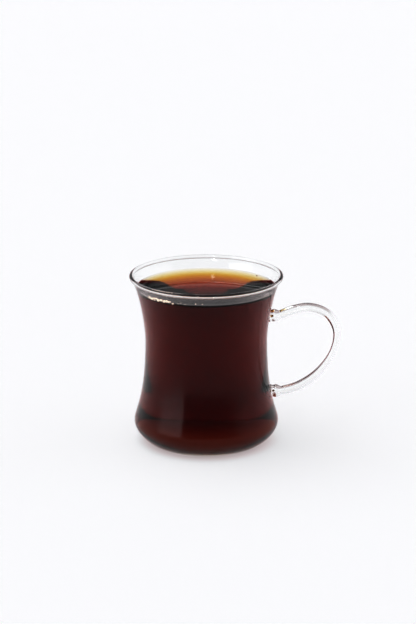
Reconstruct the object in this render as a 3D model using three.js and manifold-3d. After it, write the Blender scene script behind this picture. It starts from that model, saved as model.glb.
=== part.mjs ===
// A waisted glass mug of black tea. The body is blown in one piece with a rounded lip, a narrow waist,
// a full bulge and a flat foot, and a drawn glass rod is fused to it as the handle, with a rounded
// collar at each joint. The tea stands just below the lip and climbs the wall where it meets the glass.
//
// Millimetres, +Z up. The origin is the centre of the foot, on the surface that the mug stands on.
// The handle lies in the plane y = 0 and points along +X.

import * as THREE from 'three';
import { mergeVertices } from 'three/addons/utils/BufferGeometryUtils.js';
import Module from 'manifold-3d';

// Body, outside
const HEIGHT = 92.5;
const RIM_RADIUS = 41;
const LIP_RADIUS = 1.1;
const LIP_TILT = THREE.MathUtils.degToRad(45);
const WAIST_RADIUS = 32.7;
const WAIST_HEIGHT = 56.6;
const BULGE_RADIUS = 38.8;
const BULGE_HEIGHT = 11.5;
const FOOT_RADIUS = 28;

// How far each stretch of the side keeps its end direction before it bends away
const FOOT_REACH = 2.5;
const BULGE_REACH_DOWN = 6.4;
const BULGE_REACH_UP = 5.4;
const WAIST_REACH_DOWN = 33;
const WAIST_REACH_UP = 8.3;
const LIP_REACH = 5.5;

// Body, inside
const WALL = 1.9;
const BASE = 3;
const FLOOR_RADIUS = 26.5;
const FLOOR_REACH = 4.5;
const FLOOR_BULGE_REACH = 4.6;

// Tea
const TEA_LEVEL = 83.7;
const MENISCUS_RISE = 2.2;
const CAPILLARY_LENGTH = 2.7;
const TEA_CLEARANCE = 0.3;

// Handle: a rod that is thick at its joints and on top, and drawn thin down the side
const ROD_RADIUS = 2.45;
const ROD_THINNING = 0.68;
const THINNEST_AT = 0.54;
const THINNING_SPREAD = 0.16;
const JOINT_FLARE = 1;
const JOINT_FLARE_LENGTH = 0.7;
const COLLAR_SWELL = 1.1;
const COLLAR_AT = 2.6;
const COLLAR_SPREAD = 2;
const NECK_DEPTH = 0.3;
const NECK_AT = 5.6;
const NECK_SPREAD = 0.8;
const UPPER_JOINT_HEIGHT = 69.1;
const LOWER_JOINT_HEIGHT = 27.2;
const ROD_COURSE = [
  [39.2, 70.1], [47.2, 73.0], [55.4, 74.1], [64.4, 70.7], [69.5, 61.4],
  [68.0, 50.2], [60.2, 38.0], [50.4, 30.7], [41.4, 27.7],
];

// Fineness of the facets
const SEGMENTS = 64;
const SIDE_STEPS = [5, 9, 7];
const LIP_STEPS = 8;
const MENISCUS_STEPS = 6;
const ROD_SIDES = 16;
const ROD_RINGS = 40;

// The middle of the wall at the lip, and the direction in which the wall runs out into it
const lipCentre = new THREE.Vector2(RIM_RADIUS - LIP_RADIUS, HEIGHT - LIP_RADIUS);
const lipDirection = new THREE.Vector2(Math.sin(LIP_TILT), Math.cos(LIP_TILT));
const lipOutward = new THREE.Vector2(Math.cos(LIP_TILT), -Math.sin(LIP_TILT));

// One face of the wall as three curves: foot to bulge, bulge to waist, waist to lip
function wallFace(inset, floorRadius, floorHeight, floorReach, bulgeReach, lipOffset) {
  const floor = new THREE.Vector2(floorRadius, floorHeight);
  const bulge = new THREE.Vector2(BULGE_RADIUS - inset, BULGE_HEIGHT);
  const waist = new THREE.Vector2(WAIST_RADIUS - inset, WAIST_HEIGHT);
  const lip = lipCentre.clone().addScaledVector(lipOutward, lipOffset);
  const along = (point, x, y) => new THREE.Vector2(point.x + x, point.y + y);
  return [
    new THREE.CubicBezierCurve(floor, along(floor, floorReach, 0), along(bulge, 0, -bulgeReach), bulge),
    new THREE.CubicBezierCurve(
      bulge, along(bulge, 0, BULGE_REACH_UP), along(waist, 0, -WAIST_REACH_DOWN), waist),
    new THREE.CubicBezierCurve(
      waist, along(waist, 0, WAIST_REACH_UP), lip.clone().addScaledVector(lipDirection, -LIP_REACH), lip),
  ];
}

function samples(curves) {
  const rest = curves.flatMap((curve, i) => curve.getPoints(SIDE_STEPS[i]).slice(1));
  return [curves[0].getPoint(0), ...rest];
}

const outside = samples(wallFace(0, FOOT_RADIUS, 0, FOOT_REACH, BULGE_REACH_DOWN, LIP_RADIUS));
const inside = samples(wallFace(WALL, FLOOR_RADIUS, BASE, FLOOR_REACH, FLOOR_BULGE_REACH, -LIP_RADIUS));

// The point of a rising outline at a height
function pointAtHeight(outline, height) {
  const above = outline.findIndex((point) => point.y > height);
  const [low, high] = [outline[above - 1], outline[above]];
  return low.clone().lerp(high, (height - low.y) / (high.y - low.y));
}

// A rising outline moved towards the axis, square to itself
function movedInward(outline, distance) {
  return outline.map((point, i) => {
    const before = outline[Math.max(i - 1, 0)];
    const after = outline[Math.min(i + 1, outline.length - 1)];
    const run = after.clone().sub(before).normalize();
    return new THREE.Vector2(point.x - run.y * distance, point.y + run.x * distance);
  });
}

// A closed mesh with shared corners and no collapsed triangles
function closed(geometry) {
  geometry.deleteAttribute('normal');
  geometry.deleteAttribute('uv');
  const merged = mergeVertices(geometry);
  const corners = merged.index.array;
  const kept = [];
  for (let i = 0; i < corners.length; i += 3) {
    const [a, b, c] = corners.slice(i, i + 3);
    if (a !== b && b !== c && c !== a) kept.push(a, b, c);
  }
  merged.setIndex(kept);
  return merged;
}

// An outline turned about the vertical axis
function turned(outline) {
  return closed(new THREE.LatheGeometry(outline, SEGMENTS).rotateX(Math.PI / 2));
}

function bodyGeometry() {
  const lip = [];
  for (let i = 1; i < LIP_STEPS; i++) {
    const angle = -LIP_TILT + (Math.PI * i) / LIP_STEPS;
    const spoke = new THREE.Vector2(Math.cos(angle), Math.sin(angle));
    lip.push(lipCentre.clone().addScaledVector(spoke, LIP_RADIUS));
  }
  const floorCentre = new THREE.Vector2(0, BASE);
  const footCentre = new THREE.Vector2(0, 0);
  return turned([footCentre, ...outside, ...lip, ...inside.toReversed(), floorCentre]);
}

// Everything within the middle of the wall: it trims the handle's ends
function coreGeometry() {
  const middle = movedInward(outside, WALL / 2);
  const top = new THREE.Vector2(0, middle.at(-1).y);
  const bottom = new THREE.Vector2(0, middle[0].y);
  return turned([bottom, ...middle, top]);
}

function teaGeometry() {
  const side = movedInward(inside, TEA_CLEARANCE);
  const contactHeight = TEA_LEVEL + MENISCUS_RISE;
  const contact = pointAtHeight(side, contactHeight);
  const wetted = side.filter((point) => point.y < contactHeight);
  const surface = [];
  for (let i = 0; i <= MENISCUS_STEPS; i++) {
    const fromWall = (contact.x / 2) * (i / MENISCUS_STEPS) ** 2;
    const climb = MENISCUS_RISE * Math.exp(-fromWall / CAPILLARY_LENGTH);
    surface.push(new THREE.Vector2(contact.x - fromWall, TEA_LEVEL + climb));
  }
  const bottomCentre = new THREE.Vector2(0, side[0].y);
  const topCentre = new THREE.Vector2(0, TEA_LEVEL);
  return turned([bottomCentre, ...wetted, ...surface, topCentre]);
}

// A smooth hump of height 1
const hump = (place, middle, spread) => Math.exp(-(((place - middle) / spread) ** 2));

// The rod's radius at a share of its length, and at a distance from the outside of the wall
function rodRadius(share, fromWall) {
  const thinning = ROD_THINNING * hump(share, THINNEST_AT, THINNING_SPREAD);
  const flare = JOINT_FLARE * Math.exp(-Math.max(fromWall, 0) / JOINT_FLARE_LENGTH);
  const collar = COLLAR_SWELL * hump(fromWall, COLLAR_AT, COLLAR_SPREAD);
  const neck = NECK_DEPTH * hump(fromWall, NECK_AT, NECK_SPREAD);
  return ROD_RADIUS - thinning + flare + collar - neck;
}

// The rod as rings of corners along its course, closed by a fan at each end
function handleGeometry() {
  const joint = (height) => [pointAtHeight(outside, height).x - WALL, height];
  const course = [joint(UPPER_JOINT_HEIGHT), ...ROD_COURSE, joint(LOWER_JOINT_HEIGHT)];
  const points = course.map(([x, z]) => new THREE.Vector3(x, 0, z));
  const curve = new THREE.CatmullRomCurve3(points, false, 'centripetal');
  const length = curve.getLength();
  const across = new THREE.Vector3(0, 1, 0);
  const positions = [];
  for (let i = 0; i <= ROD_RINGS; i++) {
    const share = (1 - Math.cos((Math.PI * i) / ROD_RINGS)) / 2;
    const centre = curve.getPointAt(share);
    const sideways = new THREE.Vector3().crossVectors(across, curve.getTangentAt(share));
    const radius = rodRadius(share, Math.min(share, 1 - share) * length - WALL);
    for (let k = 0; k < ROD_SIDES; k++) {
      const angle = (2 * Math.PI * k) / ROD_SIDES;
      const corner = centre.clone();
      corner.addScaledVector(sideways, radius * Math.cos(angle));
      corner.addScaledVector(across, radius * Math.sin(angle));
      positions.push(...corner.toArray());
    }
  }
  const startCentre = positions.length / 3;
  const endCentre = startCentre + 1;
  const lastRing = ROD_RINGS * ROD_SIDES;
  positions.push(...curve.getPointAt(0).toArray(), ...curve.getPointAt(1).toArray());

  const corners = [];
  for (let k = 0; k < ROD_SIDES; k++) {
    const next = (k + 1) % ROD_SIDES;
    corners.push(startCentre, next, k);
    corners.push(endCentre, lastRing + k, lastRing + next);
    for (let ring = 0; ring < lastRing; ring += ROD_SIDES) {
      const [a, b] = [ring + k, ring + next];
      corners.push(a, b, b + ROD_SIDES, a, b + ROD_SIDES, a + ROD_SIDES);
    }
  }
  const geometry = new THREE.BufferGeometry();
  geometry.setAttribute('position', new THREE.Float32BufferAttribute(positions, 3));
  geometry.setIndex(corners);
  return geometry;
}

const wasm = await Module();
wasm.setup();

function toSolid(geometry) {
  return new wasm.Manifold(new wasm.Mesh({
    numProp: 3,
    vertProperties: new Float32Array(geometry.attributes.position.array),
    triVerts: new Uint32Array(geometry.index.array),
  }));
}

function toGeometry(solid) {
  const mesh = solid.getMesh();
  const geometry = new THREE.BufferGeometry();
  geometry.setAttribute('position', new THREE.Float32BufferAttribute(mesh.vertProperties, 3));
  geometry.setIndex(new THREE.Uint32BufferAttribute(mesh.triVerts, 1));
  return geometry;
}

// The rod stops inside the wall, so that nothing of it stands in the tea
function glassGeometry() {
  const rod = toSolid(handleGeometry()).subtract(toSolid(coreGeometry()));
  return toGeometry(toSolid(bodyGeometry()).add(rod));
}

const clearGlass = new THREE.MeshStandardMaterial({
  color: 0xeef2f2, roughness: 0.03, metalness: 0, transparent: true, opacity: 0.35,
});
const blackTea = new THREE.MeshStandardMaterial({ color: 0x4a1208, roughness: 0.05, metalness: 0 });

function namedMesh(name, geometry, material) {
  geometry.computeVertexNormals();
  const mesh = new THREE.Mesh(geometry, material);
  mesh.name = name;
  return mesh;
}

const mug = new THREE.Group();
mug.add(namedMesh('glass', glassGeometry(), clearGlass));
mug.add(namedMesh('tea', teaGeometry(), blackTea));

export default mug;
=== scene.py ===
"""A waisted glass mug of black tea on a pale table, in plain soft studio light."""

import math
import random

import bmesh
import bpy
import numpy as np
from mathutils import Matrix, Vector


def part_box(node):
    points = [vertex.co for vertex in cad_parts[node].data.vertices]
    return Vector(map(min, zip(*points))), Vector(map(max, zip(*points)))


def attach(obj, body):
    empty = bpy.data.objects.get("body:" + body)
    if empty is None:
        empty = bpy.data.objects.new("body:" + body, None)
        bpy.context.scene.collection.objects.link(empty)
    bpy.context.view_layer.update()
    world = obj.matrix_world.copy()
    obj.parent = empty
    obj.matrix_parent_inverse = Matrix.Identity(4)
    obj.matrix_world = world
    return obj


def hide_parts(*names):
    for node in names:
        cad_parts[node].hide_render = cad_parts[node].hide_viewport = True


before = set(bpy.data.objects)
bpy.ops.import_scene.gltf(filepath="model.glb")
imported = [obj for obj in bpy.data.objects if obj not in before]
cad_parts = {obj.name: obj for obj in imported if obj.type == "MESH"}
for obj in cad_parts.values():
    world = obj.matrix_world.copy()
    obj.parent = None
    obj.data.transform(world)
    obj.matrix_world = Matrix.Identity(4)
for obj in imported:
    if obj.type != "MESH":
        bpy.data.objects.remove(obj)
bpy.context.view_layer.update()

bl_info = {
    "name": "Glass Mug of Tea",
    "version": (1, 0, 0),
    "blender": (4, 5, 0),
    "location": "View3D > Sidebar > Tea Mug",
    "description": "Blows a waisted glass mug, draws its handle and fills it with black tea",
    "category": "Object",
}

GLASS_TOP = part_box("glass")[1]
BODY = "root"
MM = 0.001

SENSOR_HEIGHT = 36.0
IMAGE_HEIGHT = 624

# Places along the middle of the handle's rod: out from the mug's axis, and up from the table
ROD_COURSE = [
    (39.2, 70.1), (47.2, 73.0), (55.4, 74.1), (64.4, 70.7), (69.5, 61.4),
    (68.0, 50.2), (60.2, 38.0), (50.4, 30.7), (41.4, 27.7),
]

# Where the single bubbles sit, in degrees round from the front
LONE_BUBBLES = (-23.1, -20.8, -17.3, -8.5, -3.1)

# Steps along the middle of the rod between two of its places
COURSE_STEPS = 60

# How sharply two facets must meet to show as an edge
GLASS_EDGE = math.radians(35)
TEA_EDGE = math.radians(50)

# Where things stand round the mug, in radians from the front towards the right: each fades in
# between the first two and out between the last two
FRONT_ROOM = (-0.7, -0.6, 0.6, 1.2)
TALL_WINDOW = (-1.6, -1.25, -0.72, -0.68)
NARROW_LAMP = (-0.37, -0.35, -0.25, -0.23)

# The same on both sides alike, and where the back begins
SIDE_WALLS = (0.9, 1.2, 2.1, 2.4)
BACK_WALL = (2.2, 2.7)

# How high they stand, as the sine of the angle up
WINDOW_RISE = (-0.06, 0.03, 0.5, 0.7)
LAMP_RISE = (0.74, 0.78, 0.93, 0.95)
WALL_TOPS = (0.12, 0.45)

# How far from the mug's axis the paper's painted light and shade change, in metres: a painted shadow under
# and round the foot, and, seen only in reflections, painted shade towards the front and a painted pool of
# window light
PAINTED_FOOT_SHADE_EDGE = (0.026, 0.04)
PAINTED_FRONT_SHADE_EDGE = (0.2, 0.6)
PAINTED_WINDOW_POOL_EDGE = (0.15, 0.45)

# How the picture lifts the reds in the middle tones
WARM_REDS = [(0.15, 0.15), (0.35, 0.38), (0.6, 0.65), (0.8, 0.8), (0.9, 0.9)]


def length(name, description, default):
    """A size in metres, which the sidebar shows as a length."""
    return bpy.props.FloatProperty(
        name=name, description=description, default=default, unit="LENGTH", subtype="DISTANCE", precision=5)


def angle(name, description, degrees):
    """An angle, which the sidebar shows in degrees."""
    return bpy.props.FloatProperty(
        name=name, description=description, default=math.radians(degrees), unit="ROTATION", subtype="ANGLE")


def number(name, description, default):
    """A plain number."""
    return bpy.props.FloatProperty(name=name, description=description, default=default, precision=4)


def colour(name, description, default):
    """A colour."""
    return bpy.props.FloatVectorProperty(
        name=name, description=description, default=default, subtype="COLOR", size=3, min=0, max=10)


def count(name, description, default):
    """A whole number."""
    return bpy.props.IntProperty(name=name, description=description, default=default, min=1)


class BodySizes(bpy.types.PropertyGroup):
    """The blown body, outside and inside."""

    height: length("Height", "Table to the top of the lip", GLASS_TOP.z)
    rim_radius: length("Rim radius", "Widest point of the lip", GLASS_TOP.y)
    lip_radius: length("Lip radius", "Half the thickness of the rounded lip", 1.1 * MM)
    lip_tilt: angle("Lip tilt", "How far the wall leans out where it meets the lip", 45)
    lip_lean: angle("Lip lean", "Which way the rounded lip is open, round from straight down", 12)
    lip_wrap: angle("Lip wrap", "How far the rounded lip goes past a half circle on each side", 62)
    waist_radius: length("Waist radius", "Narrowest point of the side", 32.7 * MM)
    waist_height: length("Waist height", "Height of the narrowest point", 56.6 * MM)
    bulge_radius: length("Bulge radius", "Widest point above the foot", 38.8 * MM)
    bulge_height: length("Bulge height", "Height of the widest point above the foot", 11.5 * MM)
    foot_radius: length("Foot radius", "Flat part of the foot", 28 * MM)
    foot_reach: length("Foot reach", "How long the side stays level as it leaves the foot", 2.5 * MM)
    bulge_reach_down: length("Bulge reach down", "How long the side stays upright below the bulge", 6.4 * MM)
    bulge_reach_up: length("Bulge reach up", "How long the side stays upright above the bulge", 5.4 * MM)
    waist_reach_down: length("Waist reach down", "How long the side stays upright below the waist", 33 * MM)
    waist_reach_up: length("Waist reach up", "How long the side stays upright above the waist", 8.3 * MM)
    lip_reach: length("Lip reach", "How far below the lip the wall already leans out", 5.5 * MM)
    wall: length("Wall", "Thickness of the wall", 1.9 * MM)
    base: length("Base", "Thickness of the base", 3 * MM)
    floor_radius: length("Floor radius", "Flat part of the inside floor", 26.5 * MM)
    floor_reach: length("Floor reach", "How long the inside stays level as it leaves the floor", 4.5 * MM)
    floor_bulge_reach: length("Inner bulge reach", "How long the inside stays upright below it", 4.6 * MM)
    segments: count("Segments", "Facets round the body, a multiple of four", 160)
    side_steps: count("Side steps", "Facets up each of the three stretches of a side", 30)
    lip_steps: count("Lip steps", "Facets over the lip, a multiple of four", 16)


class HandleSizes(bpy.types.PropertyGroup):
    """The drawn rod that is fused to the body."""

    rod_radius: length("Rod radius", "Half the thickness of the rod where it isn't drawn thin", 2.45 * MM)
    thinning: length("Thinning", "How much the radius shrinks down the side", 0.68 * MM)
    thinnest_at: number("Thinnest at", "Share of the rod's length where it is thinnest", 0.54)
    thinning_spread: number("Thinning spread", "Share of the length over which it thins", 0.16)
    flare: length("Flare", "How much wider the fused joint is where it meets the body", 1.0 * MM)
    flare_length: length("Flare length", "How soon that flare is gone", 0.7 * MM)
    collar_swell: length("Collar swell", "How much wider the collar is than the rod", 1.1 * MM)
    collar_at: length("Collar at", "From the wall to the widest point of the collar", 2.6 * MM)
    collar_spread: length("Collar spread", "How soon the collar narrows", 2.0 * MM)
    neck_depth: length("Neck depth", "How much the rod shrinks past the collar", 0.3 * MM)
    neck_at: length("Neck at", "From the wall to the neck", 5.6 * MM)
    neck_spread: length("Neck spread", "How soon the neck widens again", 0.8 * MM)
    upper_joint: length("Upper joint", "Height of the upper joint", 69.1 * MM)
    lower_joint: length("Lower joint", "Height of the lower joint", 27.2 * MM)
    sides: count("Sides", "Facets round the rod", 64)
    rings: count("Rings", "Rings along the rod", 240)


class TeaSizes(bpy.types.PropertyGroup):
    """How much tea there is, and how strong."""

    level: length("Level", "Height of the flat part of the tea", 83.7 * MM)
    rise: length("Meniscus rise", "How far the tea climbs the glass", 2.2 * MM)
    capillary: length("Capillary length", "How far from the glass the climb fades", 2.7 * MM)
    reach: length("Reach", "How far the tea reaches into the wall, so that no air shows", 0.12 * MM)
    surface_steps: count("Surface steps", "Rings of facets across the tea", 40)
    dimple_length: length("Dimple length", "How far the tea fills each joint of the handle", 3.2 * MM)
    dimple_radius: length("Dimple radius", "Half the thickness of the tea in a joint", 1.6 * MM)
    strength: number("Strength", "What a metre of the tea takes from the light", 400)
    hue: colour("Hue", "What the tea lets through", (0.895, 0.7, 0.01))


class BubbleSizes(bpy.types.PropertyGroup):
    """The bubbles along the edge of the tea."""

    smallest: length("Smallest", "Radius of the smallest bubble", 0.18 * MM)
    largest: length("Largest", "Radius of the largest bubble", 0.5 * MM)
    cluster_from: angle("Cluster from", "Start of the cluster, round from the front", -55)
    cluster_to: angle("Cluster to", "End of the cluster, round from the front", -27)
    cluster_count: count("Cluster count", "Bubbles in the cluster", 80)
    spread: length("Spread", "How far the cluster climbs the glass", 1.3 * MM)
    gap: number("Gap", "Share of its radius that a bubble's middle stays off the glass", 0.6)
    below: number("Below", "Share of the spread that lies under the tea's edge", 0.3)
    seed: count("Seed", "Start of the random draw", 7)


class SpeckSizes(bpy.types.PropertyGroup):
    """The speck of tea leaf that floats by the glass."""

    radius: length("Radius", "Half the length of the speck", 0.4 * MM)
    thickness: number("Thickness", "How thick it is, as a share of its length", 0.6)
    turn: angle("Turn", "Where it floats, round from the right towards the back", 39.8)
    from_glass: length("From glass", "How far from the wall it floats", 1.0 * MM)


class StageSettings(bpy.types.PropertyGroup):
    """Camera, table and light."""

    camera_distance: length("Camera distance", "From the mug's axis, along the table", 1185 * MM)
    camera_height: length("Camera height", "Above the table", 422.3 * MM)
    camera_aside: length("Camera aside", "To the right of the mug's axis", 0.93 * MM)
    camera_pitch: angle("Camera pitch", "How far the camera looks down", 16.492)
    focal_pixels: number("Focal length", "In pixels of the picture's height", 2314.4)
    black_level: number("Black level", "Darkest light that the picture still shows", 0.016)
    contrast: number("Contrast", "How much steeper than plain the picture's tones run", 1.52)
    table_radius: length("Table radius", "How far the pale table reaches", 6)
    table_press: length("Table press", "How far the foot presses into the paper", 0.1 * MM)
    table_colour: colour("Table colour", "Pale paper, which is lit from below as well", (0.29, 0.29, 0.294))
    table_glow: number("Table glow", "Light that comes up through the paper", 2.3)
    # Painted shadow: share of the paper's colour and glow taken away under and round the foot
    painted_foot_shade: number("Foot shade", "Share of its light that the paper loses under the foot", 0.35)
    # Painted shade: share of the table's colour and glow taken away towards the front, in reflections only
    painted_front_shade: number("Front fade", "Share of its light that the table loses towards the front", 0.35)
    # Painted pool of window light: how much brighter the table looks below the window, in reflections only
    painted_window_pool: number("Streak", "How much brighter the window makes the table below it", 0.6)
    key_strength: number("Key strength", "Light on the table from the broad soft lamp above", 1.35)
    key_spread: angle("Key spread", "How broad that lamp looks from the mug", 60)
    key_height: angle("Key height", "How high that lamp stands", 66)
    key_side: angle("Key side", "Where that lamp stands, round from the right towards the back", 140)
    walls: number("Walls", "Light from the pale walls near the table's level", 1.0)
    ceiling: number("Ceiling", "Light from above, where the walls fade", 0.45)
    side_rise: number("Side rise", "How much higher the side walls reach before they fade", 0.2)
    side_glow: number("Side glow", "How much lighter it is above the side walls", 0.25)
    back_fade: number("Back fade", "Share of its light that the back of the studio loses", 0.2)
    room: number("Room", "Light from the dimmer room in front of the mug", 0.62)
    window: number("Window", "Light from the tall soft window at the front left", 1.8)
    strip: number("Strip", "Light from the narrow lamp high at the front", 12)


def bezier(start, leave, arrive, end, steps):
    """Points on one cubic curve in the plane."""
    t = np.linspace(0, 1, steps + 1)[:, None]
    a, b, c, d = (np.array(point, float) for point in (start, leave, arrive, end))
    return a * (1 - t) ** 3 + 3 * b * t * (1 - t) ** 2 + 3 * c * t * t * (1 - t) + d * t ** 3


def lip_centre(body):
    """The middle of the rounded lip, as (radius, height)."""
    return np.array([body.rim_radius - body.lip_radius, body.height - body.lip_radius])


def wall_face(body, inset, floor, floor_reach, bulge_reach, lip_side):
    """One face of the wall from the floor up to the lip, as points (radius, height)."""
    along = np.array([math.sin(body.lip_tilt), math.cos(body.lip_tilt)])
    level, up = np.eye(2)
    floor = np.array(floor)
    bulge = np.array([body.bulge_radius - inset, body.bulge_height])
    waist = np.array([body.waist_radius - inset, body.waist_height])
    spoke = body.lip_wrap * lip_side + body.lip_lean
    neck = lip_side * np.array([math.cos(spoke), -math.sin(spoke)])
    lip = lip_centre(body) + neck * body.lip_radius
    steps = body.side_steps
    return np.concatenate([
        bezier(floor, floor + level * floor_reach, bulge - up * bulge_reach, bulge, steps),
        bezier(bulge, bulge + up * body.bulge_reach_up, waist - up * body.waist_reach_down, waist, steps)[1:],
        bezier(waist, waist + up * body.waist_reach_up, lip - along * body.lip_reach, lip, steps)[1:],
    ])


def outer_face(body):
    """The outside of the wall."""
    return wall_face(body, 0, (body.foot_radius, 0), body.foot_reach, body.bulge_reach_down, 1)


def inner_face(body):
    """The inside of the wall."""
    floor = (body.floor_radius, body.base)
    return wall_face(body, body.wall, floor, body.floor_reach, body.floor_bulge_reach, -1)


def moved_inward(outline, distance):
    """A rising outline moved towards the axis, square to itself."""
    run = np.gradient(outline, axis=0)
    run /= np.linalg.norm(run, axis=1)[:, None]
    return outline + np.stack([-run[:, 1], run[:, 0]], axis=1) * distance


def radius_at(outline, height):
    """The radius of a rising outline at a height."""
    return float(np.interp(height, outline[:, 1], outline[:, 0]))


def meniscus(tea, from_wall):
    """The height of the tea at a distance from the glass."""
    return tea.level + tea.rise * np.exp(-from_wall / tea.capillary)


def turned(name, outline, segments):
    """A closed mesh: an outline that starts and ends on the axis, turned about it."""
    ring = outline[1:-1]
    turn = np.linspace(0, 2 * math.pi, segments, endpoint=False)
    across = np.stack([np.cos(turn), np.sin(turn)], axis=1)
    level = ring[:, None, :1] * across
    heights = np.broadcast_to(ring[:, None, 1:], level.shape[:2] + (1,))
    corners = np.concatenate([level, heights], axis=2).reshape(-1, 3).tolist()
    first = len(corners)
    last = first + 1
    corners += [(0, 0, outline[0, 1]), (0, 0, outline[-1, 1])]
    top = (len(ring) - 1) * segments
    faces = []
    for j in range(segments):
        k = (j + 1) % segments
        faces.append((first, k, j))
        faces.append((last, top + j, top + k))
        faces += [(i + j, i + k, i + segments + k, i + segments + j) for i in range(0, top, segments)]
    mesh = bpy.data.meshes.new(name)
    mesh.from_pydata(corners, [], faces)
    return mesh


def mesh_of(name, soup):
    """The mesh that a bmesh holds, which this uses up."""
    mesh = bpy.data.meshes.new(name)
    soup.to_mesh(mesh)
    soup.free()
    return mesh


def placed(name, mesh):
    """A new object in the scene."""
    made = bpy.data.objects.new(name, mesh)
    bpy.context.scene.collection.objects.link(made)
    return made


def combined(name, base, tool, operation):
    """The solid that a boolean makes of two helper objects, which it uses up."""
    step = base.modifiers.new(operation, "BOOLEAN")
    step.operation = operation
    step.solver = "MANIFOLD"
    step.object = tool
    mesh = bpy.data.meshes.new_from_object(base.evaluated_get(bpy.context.evaluated_depsgraph_get()))
    mesh.name = name
    bpy.data.objects.remove(base)
    bpy.data.objects.remove(tool)
    if not mesh.polygons:
        raise RuntimeError(f"{name}: the boolean left nothing")
    return placed(name, mesh)


def finished(piece, replaced):
    """Puts a piece on the mug's body, in place of the solid it stands for."""
    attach(piece, BODY)
    if replaced:
        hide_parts(replaced)


def smooth_curve(places, steps):
    """A curve through all the places, whose speed follows the root of their distance."""
    places = np.array(places, float)
    places = np.vstack([2 * places[0] - places[1], places, 2 * places[-1] - places[-2]])
    spans = np.linalg.norm(np.diff(places, axis=0), axis=1) ** 0.5
    stretches = []
    for i in range(1, len(places) - 2):
        a, b, c, d = places[i - 1:i + 3]
        before, here, after = spans[i - 1:i + 2]
        leave = (b - a) / before - (c - a) / (before + here) + (c - b) / here
        arrive = (c - b) / here - (d - b) / (here + after) + (d - c) / after
        stretches.append(bezier(b, b + leave * here / 3, c - arrive * here / 3, c, steps)[:-1])
    return np.concatenate(stretches + [places[-2:-1]])


def hump(place, middle, spread):
    """A smooth hump of height 1."""
    return np.exp(-((place - middle) / spread) ** 2)


def rod_mesh(handle, body):
    """The rod as a closed tube: thick at its joints and on top, and drawn thin down the side."""
    outside = outer_face(body)
    ends = [(radius_at(outside, z) - body.wall, z) for z in (handle.upper_joint, handle.lower_joint)]
    places = [ends[0]] + [(x * MM, z * MM) for x, z in ROD_COURSE] + [ends[1]]
    curve = smooth_curve(places, COURSE_STEPS)
    travelled = np.concatenate([[0], np.cumsum(np.linalg.norm(np.diff(curve, axis=0), axis=1))])
    whole = travelled[-1]
    share = (1 - np.cos(np.linspace(0, math.pi, handle.rings + 1))) / 2
    middle = np.stack([np.interp(share * whole, travelled, curve[:, axis]) for axis in (0, 1)], axis=1)
    run = np.gradient(middle, axis=0)
    run /= np.linalg.norm(run, axis=1)[:, None]
    from_wall = np.minimum(share, 1 - share) * whole - body.wall
    radius = (
        handle.rod_radius
        - handle.thinning * hump(share, handle.thinnest_at, handle.thinning_spread)
        + handle.flare * np.exp(-np.maximum(from_wall, 0) / handle.flare_length)
        + handle.collar_swell * hump(from_wall, handle.collar_at, handle.collar_spread)
        - handle.neck_depth * hump(from_wall, handle.neck_at, handle.neck_spread)
    )
    sides = handle.sides
    corners = []
    for (x, z), (run_x, run_z), r in zip(middle, run, radius):
        for turn in np.linspace(0, 2 * math.pi, sides, endpoint=False):
            out = r * math.cos(turn)
            corners.append((x + run_z * out, r * math.sin(turn), z - run_x * out))
    top = handle.rings * sides
    faces = [tuple(range(sides)), tuple(range(top + sides - 1, top - 1, -1))]
    for ring in range(0, top, sides):
        for j in range(sides):
            k = (j + 1) % sides
            faces.append((ring + k, ring + j, ring + sides + j, ring + sides + k))
    mesh = bpy.data.meshes.new("rod")
    mesh.from_pydata(corners, [], faces)
    return mesh


class Wire:
    """One output in a shader. Arithmetic on it adds the Math nodes that do the sum."""

    def __init__(self, shader, socket):
        self.shader = shader
        self.socket = socket

    def math(self, operation, *values):
        return self.shader.node("ShaderNodeMath", {"operation": operation}, dict(enumerate(values)))

    def __add__(self, other):
        return self.math("ADD", self, other)

    def __radd__(self, other):
        return self.math("ADD", other, self)

    def __sub__(self, other):
        return self.math("SUBTRACT", self, other)

    def __rsub__(self, other):
        return self.math("SUBTRACT", other, self)

    def __mul__(self, other):
        return self.math("MULTIPLY", self, other)

    def __rmul__(self, other):
        return self.math("MULTIPLY", other, self)


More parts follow.
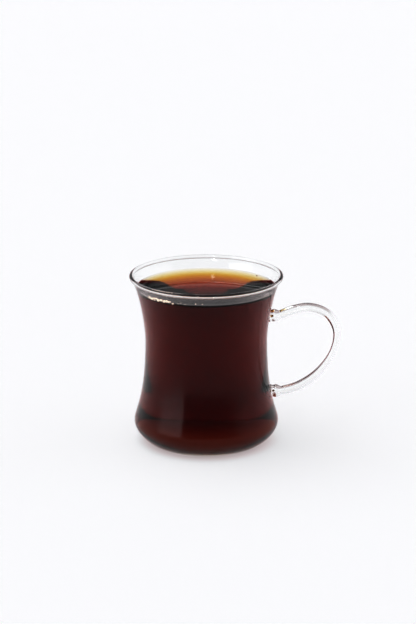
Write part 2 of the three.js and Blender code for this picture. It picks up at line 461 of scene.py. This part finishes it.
class Shader:
    """A node tree, started afresh, that is written as Python expressions."""

    def __init__(self, tree):
        self.tree = tree
        tree.nodes.clear()

    def node(self, kind, settings=None, inputs=None, output=0):
        """Adds a node with its settings, then its inputs by name or number, and gives one output."""
        made = self.tree.nodes.new(kind)
        for name, value in (settings or {}).items():
            setattr(made, name, value)
        for name, value in (inputs or {}).items():
            if isinstance(value, Wire):
                self.tree.links.new(value.socket, made.inputs[name])
            else:
                made.inputs[name].default_value = value
        return Wire(self, made.outputs[output]) if made.outputs else None

    def step(self, value, low, high):
        """A smooth change from 0 at low to 1 at high."""
        return self.node(
            "ShaderNodeMapRange", {"interpolation_type": "SMOOTHSTEP"},
            {"Value": value, "From Min": low, "From Max": high, "To Min": 0.0, "To Max": 1.0})

    def between(self, value, low, low_edge, high_edge, high):
        """1 between the inner two limits, and smoothly 0 outside the outer two."""
        return self.step(value, low, low_edge) * (1 - self.step(value, high_edge, high))

    def parts(self, vector):
        """The x, y and z of a vector."""
        first = self.node("ShaderNodeSeparateXYZ", {}, {0: vector})
        return [Wire(self, output) for output in first.socket.node.outputs]

    def noise(self, scale, detail):
        """Even noise through the object, in cells for each metre."""
        place = self.node("ShaderNodeTexCoord", output="Object")
        return self.node(
            "ShaderNodeTexNoise", {}, {"Vector": place, "Scale": scale, "Detail": detail}, "Fac")

    def mixed(self, factor, first, second):
        """A colour between two others."""
        return self.node(
            "ShaderNodeMix", {"data_type": "RGBA", "clamp_factor": False},
            {0: factor, 6: (*first, 1), 7: (*second, 1)}, 2)

    def bump(self, height, distance, strength):
        """Small relief."""
        return self.node(
            "ShaderNodeBump", {}, {"Height": height, "Distance": distance, "Strength": strength})


def new_material(name):
    """An empty material and its shader."""
    material = bpy.data.materials.new(name)
    material.use_nodes = True
    return material, Shader(material.node_tree)


def blown_glass(name, specular_tint):
    """Clear blown glass with the faint waviness of a flame-worked wall."""
    material, shader = new_material(name)
    waves = shader.noise(55, 1.5)
    film = shader.noise(190, 3)
    surface = shader.node("ShaderNodeBsdfPrincipled", {}, {
        "Base Color": shader.mixed(film, (0.975, 0.985, 0.98), (1, 1, 1)),
        "Roughness": 0.006 * film,
        "IOR": 1.5,
        "Transmission Weight": 1.0,
        "Specular Tint": specular_tint,
        "Normal": shader.bump(waves, 0.0004, 0.02),
    })
    shader.node("ShaderNodeOutputMaterial", {}, {"Surface": surface})
    return material


def black_tea(tea):
    """Clear strong tea, amber where it is thin and nearly black where it is deep."""
    material, shader = new_material("black_tea")
    oil = shader.noise(140, 2)
    surface = shader.node("ShaderNodeBsdfPrincipled", {}, {
        "Base Color": shader.mixed(oil, (0.97, 0.95, 0.93), (1, 1, 1)),
        "Roughness": 0.004 * oil,
        "IOR": 1.333,
        "Transmission Weight": 1.0,
        "Specular Tint": (0.02, 0.02, 0.02, 1),
    })
    volume = shader.node(
        "ShaderNodeVolumeAbsorption", {}, {"Color": (*tea.hue, 1), "Density": tea.strength})
    shader.node("ShaderNodeOutputMaterial", {}, {"Surface": surface, "Volume": volume})
    return material


def froth():
    """Thin-skinned bubbles, cream where they crowd, with a faint painted glow though they are no lamp."""
    material, shader = new_material("froth")
    skin = shader.noise(2500, 1)
    surface = shader.node("ShaderNodeBsdfPrincipled", {}, {
        "Base Color": shader.mixed(skin, (0.98, 0.90, 0.78), (0.80, 0.62, 0.45)),
        "Roughness": 0.1 + 0.15 * skin,
        "IOR": 1.33,
        # Painted glow: the bubbles shine faintly of themselves, standing in for the light they catch
        "Emission Color": (1.0, 0.93, 0.82, 1),
        "Emission Strength": 0.45,
    })
    shader.node("ShaderNodeOutputMaterial", {}, {"Surface": surface})
    return material


def leaf():
    """Dark, wet tea leaf."""
    material, shader = new_material("leaf")
    grain = shader.noise(4000, 2)
    surface = shader.node("ShaderNodeBsdfPrincipled", {}, {
        "Base Color": shader.mixed(grain, (0.02, 0.008, 0.004), (0.06, 0.03, 0.015)),
        "Roughness": 0.4 + 0.3 * grain,
    })
    shader.node("ShaderNodeOutputMaterial", {}, {"Surface": surface})
    return material


def paper(stage):
    """Pale paper with a fine tooth on a light table, with a painted shadow under and round the foot; in
    reflections only, a painted pool of window light and painted shade towards the front.
    """
    material, shader = new_material("pale_paper")
    tooth = shader.noise(900, 2)
    place = shader.node("ShaderNodeTexCoord", output="Object")
    x, y, _ = shader.parts(place)
    around = x.math("ARCTAN2", x, 0 - y)
    away = x.math("SQRT", x * x + y * y)
    # Painted shade towards the front of the table, which only reflections see
    front = shader.between(around, *FRONT_ROOM) * shader.step(away, *PAINTED_FRONT_SHADE_EDGE)
    # Painted pool of window light on the table beyond the mug, which only reflections see
    lit = shader.between(around, *TALL_WINDOW) * shader.step(away, *PAINTED_WINDOW_POOL_EDGE)
    mirrored = shader.node("ShaderNodeLightPath", output="Is Glossy Ray")
    # Painted contact shadow: the paper's colour and glow fall off under and just round the foot
    foot_shadow_mask = 1 - shader.step(away, *PAINTED_FOOT_SHADE_EDGE)
    light = 1 - 0.015 * tooth - stage.painted_foot_shade * foot_shadow_mask
    # Reflections alone see the painted pool of window light and the painted shade towards the front
    light = light + mirrored * (stage.painted_window_pool * lit - stage.painted_front_shade * front)
    tone = shader.mixed(light, (0, 0, 0), tuple(stage.table_colour))
    surface = shader.node("ShaderNodeBsdfPrincipled", {}, {
        "Base Color": tone,
        "Emission Color": tone,
        "Emission Strength": stage.table_glow,
        "Roughness": 0.75 + 0.1 * tooth,
        "Specular IOR Level": 0.25,
        "Normal": shader.bump(tooth, 0.0001, 0.05),
    })
    shader.node("ShaderNodeOutputMaterial", {}, {"Surface": surface})
    return material


def studio_light(stage):
    """Pale walls that fade upwards, a dimmer back and front, a tall window and a narrow lamp."""
    world = bpy.data.worlds.new("studio")
    world.use_nodes = True
    shader = Shader(world.node_tree)
    x, y, z = shader.parts(shader.node("ShaderNodeTexCoord", output="Generated"))
    around = x.math("ARCTAN2", x, 0 - y)
    front = shader.between(around, *FRONT_ROOM)
    light = stage.walls + front * (stage.room - stage.walls)
    aside = around.math("ABSOLUTE", around)
    beside = shader.between(aside, *SIDE_WALLS)
    above = stage.ceiling + stage.side_glow * beside
    light = light + shader.step(z - stage.side_rise * beside, *WALL_TOPS) * (above - light)
    light = light * (1 - stage.back_fade * shader.step(aside, *BACK_WALL))
    window = shader.between(around, *TALL_WINDOW) * shader.between(z, *WINDOW_RISE)
    light = light + window * (stage.window - light)
    strip = shader.between(around, *NARROW_LAMP) * shader.between(z, *LAMP_RISE)
    light = light + strip * stage.strip
    background = shader.node("ShaderNodeBackground", {}, {"Color": (0.985, 0.985, 1, 1), "Strength": light})
    shader.node("ShaderNodeOutputWorld", {}, {"Surface": background})
    return world


class MUG_OT_glass(bpy.types.Operator):
    """Blows the body, draws the handle and fuses the two"""

    bl_idname = "tea_mug.glass"
    bl_label = "Glass"

    def execute(self, context):
        body = context.scene.tea_mug_body
        outside = outer_face(body)
        inside = inner_face(body)
        half = math.pi / 2 + body.lip_wrap
        spokes = np.linspace(-half, half, body.lip_steps + 1)[1:-1] + math.pi / 2 - body.lip_lean
        lip = lip_centre(body) + body.lip_radius * np.stack([np.cos(spokes), np.sin(spokes)], axis=1)
        outline = np.concatenate([[(0, 0)], outside, lip, inside[::-1], [(0, body.base)]])
        blown = placed("blown", turned("blown", outline, body.segments))
        half_wall = moved_inward(outside, body.wall / 2)
        core_outline = np.concatenate([[(0, half_wall[0, 1])], half_wall, [(0, half_wall[-1, 1])]])
        core = placed("core", turned("core", core_outline, body.segments))
        rod = placed("rod", rod_mesh(context.scene.tea_mug_handle, body))
        glass = combined("mug_glass", blown, combined("rod_end", rod, core, "DIFFERENCE"), "UNION")
        mesh = glass.data
        mesh.materials.clear()
        mesh.materials.append(blown_glass("clear_glass", (1, 1, 1, 1)))
        mesh.materials.append(blown_glass("wetted_glass", (0.02, 0.02, 0.02, 1)))
        tea = context.scene.tea_mug_tea
        contact = tea.level + tea.rise
        for face in mesh.polygons:
            place = face.center
            inner = math.hypot(place.x, place.y) < radius_at(half_wall, place.z)
            face.material_index = int(inner and body.base / 2 < place.z < contact)
        mesh.shade_smooth()
        mesh.set_sharp_from_angle(angle=GLASS_EDGE)
        finished(glass, "glass")
        return {"FINISHED"}


class MUG_OT_tea(bpy.types.Operator):
    """Fills the mug with tea, which climbs the glass a little and fills the handle's joints"""

    bl_idname = "tea_mug.tea"
    bl_label = "Tea"

    def execute(self, context):
        body = context.scene.tea_mug_body
        tea = context.scene.tea_mug_tea
        side = moved_inward(inner_face(body), -tea.reach)
        contact = tea.level + tea.rise
        wetted = side[side[:, 1] < contact]
        edge = radius_at(side, contact)
        from_wall = edge * np.linspace(0, 1, tea.surface_steps + 1)[:-1] ** 2
        surface = np.stack([edge - from_wall, meniscus(tea, from_wall)], axis=1)
        outline = np.concatenate([[(0, side[0, 1])], wetted, surface, [(0, tea.level)]])
        mesh = turned("mug_tea", outline, body.segments)
        mesh.materials.append(black_tea(tea))
        mesh.shade_smooth()
        mesh.set_sharp_from_angle(angle=TEA_EDGE)
        finished(placed("mug_tea", mesh), "tea")

        handle = context.scene.tea_mug_handle
        soup = bmesh.new()
        for height in (handle.upper_joint, handle.lower_joint):
            place = Matrix.Translation((radius_at(side, height), 0, height))
            stretch = Matrix.Diagonal((tea.dimple_length, tea.dimple_radius, tea.dimple_radius, 1))
            bmesh.ops.create_icosphere(soup, subdivisions=3, radius=1, matrix=place @ stretch)
        dimples = mesh_of("tea_in_joints", soup)
        dimples.materials.append(mesh.materials[0])
        dimples.shade_smooth()
        finished(placed("tea_in_joints", dimples), None)
        return {"FINISHED"}


class MUG_OT_bubbles(bpy.types.Operator):
    """Sets bubbles along the edge of the tea"""

    bl_idname = "tea_mug.bubbles"
    bl_label = "Bubbles"

    def execute(self, context):
        tea = context.scene.tea_mug_tea
        sizes = context.scene.tea_mug_bubbles
        inside = inner_face(context.scene.tea_mug_body)
        contact = tea.level + tea.rise
        edge = radius_at(inside, contact)
        draw = random.Random(sizes.seed)
        turns = [draw.uniform(sizes.cluster_from, sizes.cluster_to) for _ in range(sizes.cluster_count)]
        turns += [math.radians(degrees) for degrees in LONE_BUBBLES]
        soup = bmesh.new()
        for turn in turns:
            radius = sizes.smallest + (sizes.largest - sizes.smallest) * draw.random() ** 2
            out = edge - sizes.gap * radius
            height = contact + sizes.spread * (draw.random() - sizes.below)
            place = Vector((out * math.sin(turn), -out * math.cos(turn), height))
            bmesh.ops.create_icosphere(
                soup, subdivisions=2, radius=radius, matrix=Matrix.Translation(place))
        mesh = mesh_of("bubbles", soup)
        mesh.materials.append(froth())
        mesh.shade_smooth()
        finished(placed("bubbles", mesh), None)
        return {"FINISHED"}


class MUG_OT_speck(bpy.types.Operator):
    """Floats a speck of tea leaf near the glass, at the back right"""

    bl_idname = "tea_mug.speck"
    bl_label = "Speck"

    def execute(self, context):
        tea = context.scene.tea_mug_tea
        speck = context.scene.tea_mug_speck
        edge = radius_at(inner_face(context.scene.tea_mug_body), tea.level + tea.rise)
        out = edge - speck.from_glass
        height = meniscus(tea, speck.from_glass)
        place = Vector((out * math.cos(speck.turn), out * math.sin(speck.turn), height))
        flake = Matrix.Translation(place) @ Matrix.Diagonal((1, 1, speck.thickness, 1))
        soup = bmesh.new()
        bmesh.ops.create_icosphere(soup, subdivisions=2, radius=speck.radius, matrix=flake)
        mesh = mesh_of("speck", soup)
        mesh.materials.append(leaf())
        mesh.shade_smooth()
        finished(placed("speck", mesh), None)
        return {"FINISHED"}


class MUG_OT_stage(bpy.types.Operator):
    """Lays the table, lights the studio and sets up the camera"""

    bl_idname = "tea_mug.stage"
    bl_label = "Stage"

    def execute(self, context):
        scene = context.scene
        stage = scene.tea_mug_stage
        lens = bpy.data.cameras.new("camera")
        lens.sensor_fit = "AUTO"
        lens.sensor_width = SENSOR_HEIGHT
        lens.lens = SENSOR_HEIGHT * stage.focal_pixels / IMAGE_HEIGHT
        camera = placed("camera", lens)
        camera.location = (stage.camera_aside, -stage.camera_distance, stage.camera_height)
        camera.rotation_euler = (math.pi / 2 - stage.camera_pitch, 0, 0)
        scene.camera = camera

        soup = bmesh.new()
        bmesh.ops.create_grid(soup, x_segments=8, y_segments=8, size=stage.table_radius)
        mesh = mesh_of("table", soup)
        mesh.materials.append(paper(stage))
        table = placed("table", mesh)
        table.location.z = stage.table_press

        lamp = bpy.data.lights.new("key", "SUN")
        lamp.energy = stage.key_strength
        lamp.angle = stage.key_spread
        key = placed("key", lamp)
        key.rotation_euler = (0, math.pi / 2 - stage.key_height, stage.key_side)
        key.visible_glossy = False

        scene.world = studio_light(stage)
        view = scene.view_settings
        view.view_transform = "Standard"
        view.look = "None"
        view.use_curve_mapping = True
        film = view.curve_mapping
        film.black_level = (stage.black_level,) * 3
        for light, shown in WARM_REDS:
            film.curves[0].points.new(light, shown)
        film.update()
        view.gamma = 1 / stage.contrast
        return {"FINISHED"}


class MUG_PT_sidebar(bpy.types.Panel):
    """Lists the pieces of the mug with their sizes"""

    bl_idname = "MUG_PT_sidebar"
    bl_label = "Tea Mug"
    bl_space_type = "VIEW_3D"
    bl_region_type = "UI"
    bl_category = "Tea Mug"

    def draw(self, context):
        for operator, groups in STEPS:
            self.layout.operator(operator.bl_idname)
            for group in groups:
                settings = getattr(context.scene, group)
                for name in settings.__annotations__:
                    self.layout.prop(settings, name)


GROUPS = {
    "tea_mug_body": BodySizes,
    "tea_mug_handle": HandleSizes,
    "tea_mug_tea": TeaSizes,
    "tea_mug_bubbles": BubbleSizes,
    "tea_mug_speck": SpeckSizes,
    "tea_mug_stage": StageSettings,
}
STEPS = [
    (MUG_OT_stage, ["tea_mug_stage"]),
    (MUG_OT_glass, ["tea_mug_body", "tea_mug_handle"]),
    (MUG_OT_tea, ["tea_mug_tea"]),
    (MUG_OT_bubbles, ["tea_mug_bubbles"]),
    (MUG_OT_speck, ["tea_mug_speck"]),
]
CLASSES = [*GROUPS.values(), *(operator for operator, _ in STEPS), MUG_PT_sidebar]


def register():
    """Adds the classes, and their settings to the scene."""
    for made in CLASSES:
        bpy.utils.register_class(made)
    for name, group in GROUPS.items():
        setattr(bpy.types.Scene, name, bpy.props.PointerProperty(type=group))


def unregister():
    """Takes the settings and the classes away again."""
    for name in GROUPS:
        delattr(bpy.types.Scene, name)
    for made in reversed(CLASSES):
        bpy.utils.unregister_class(made)


def main():
    """Makes the stage and the mug."""
    register()
    bpy.ops.tea_mug.stage()
    bpy.ops.tea_mug.glass()
    bpy.ops.tea_mug.tea()
    bpy.ops.tea_mug.bubbles()
    bpy.ops.tea_mug.speck()


if __name__ == "__main__":
    main()
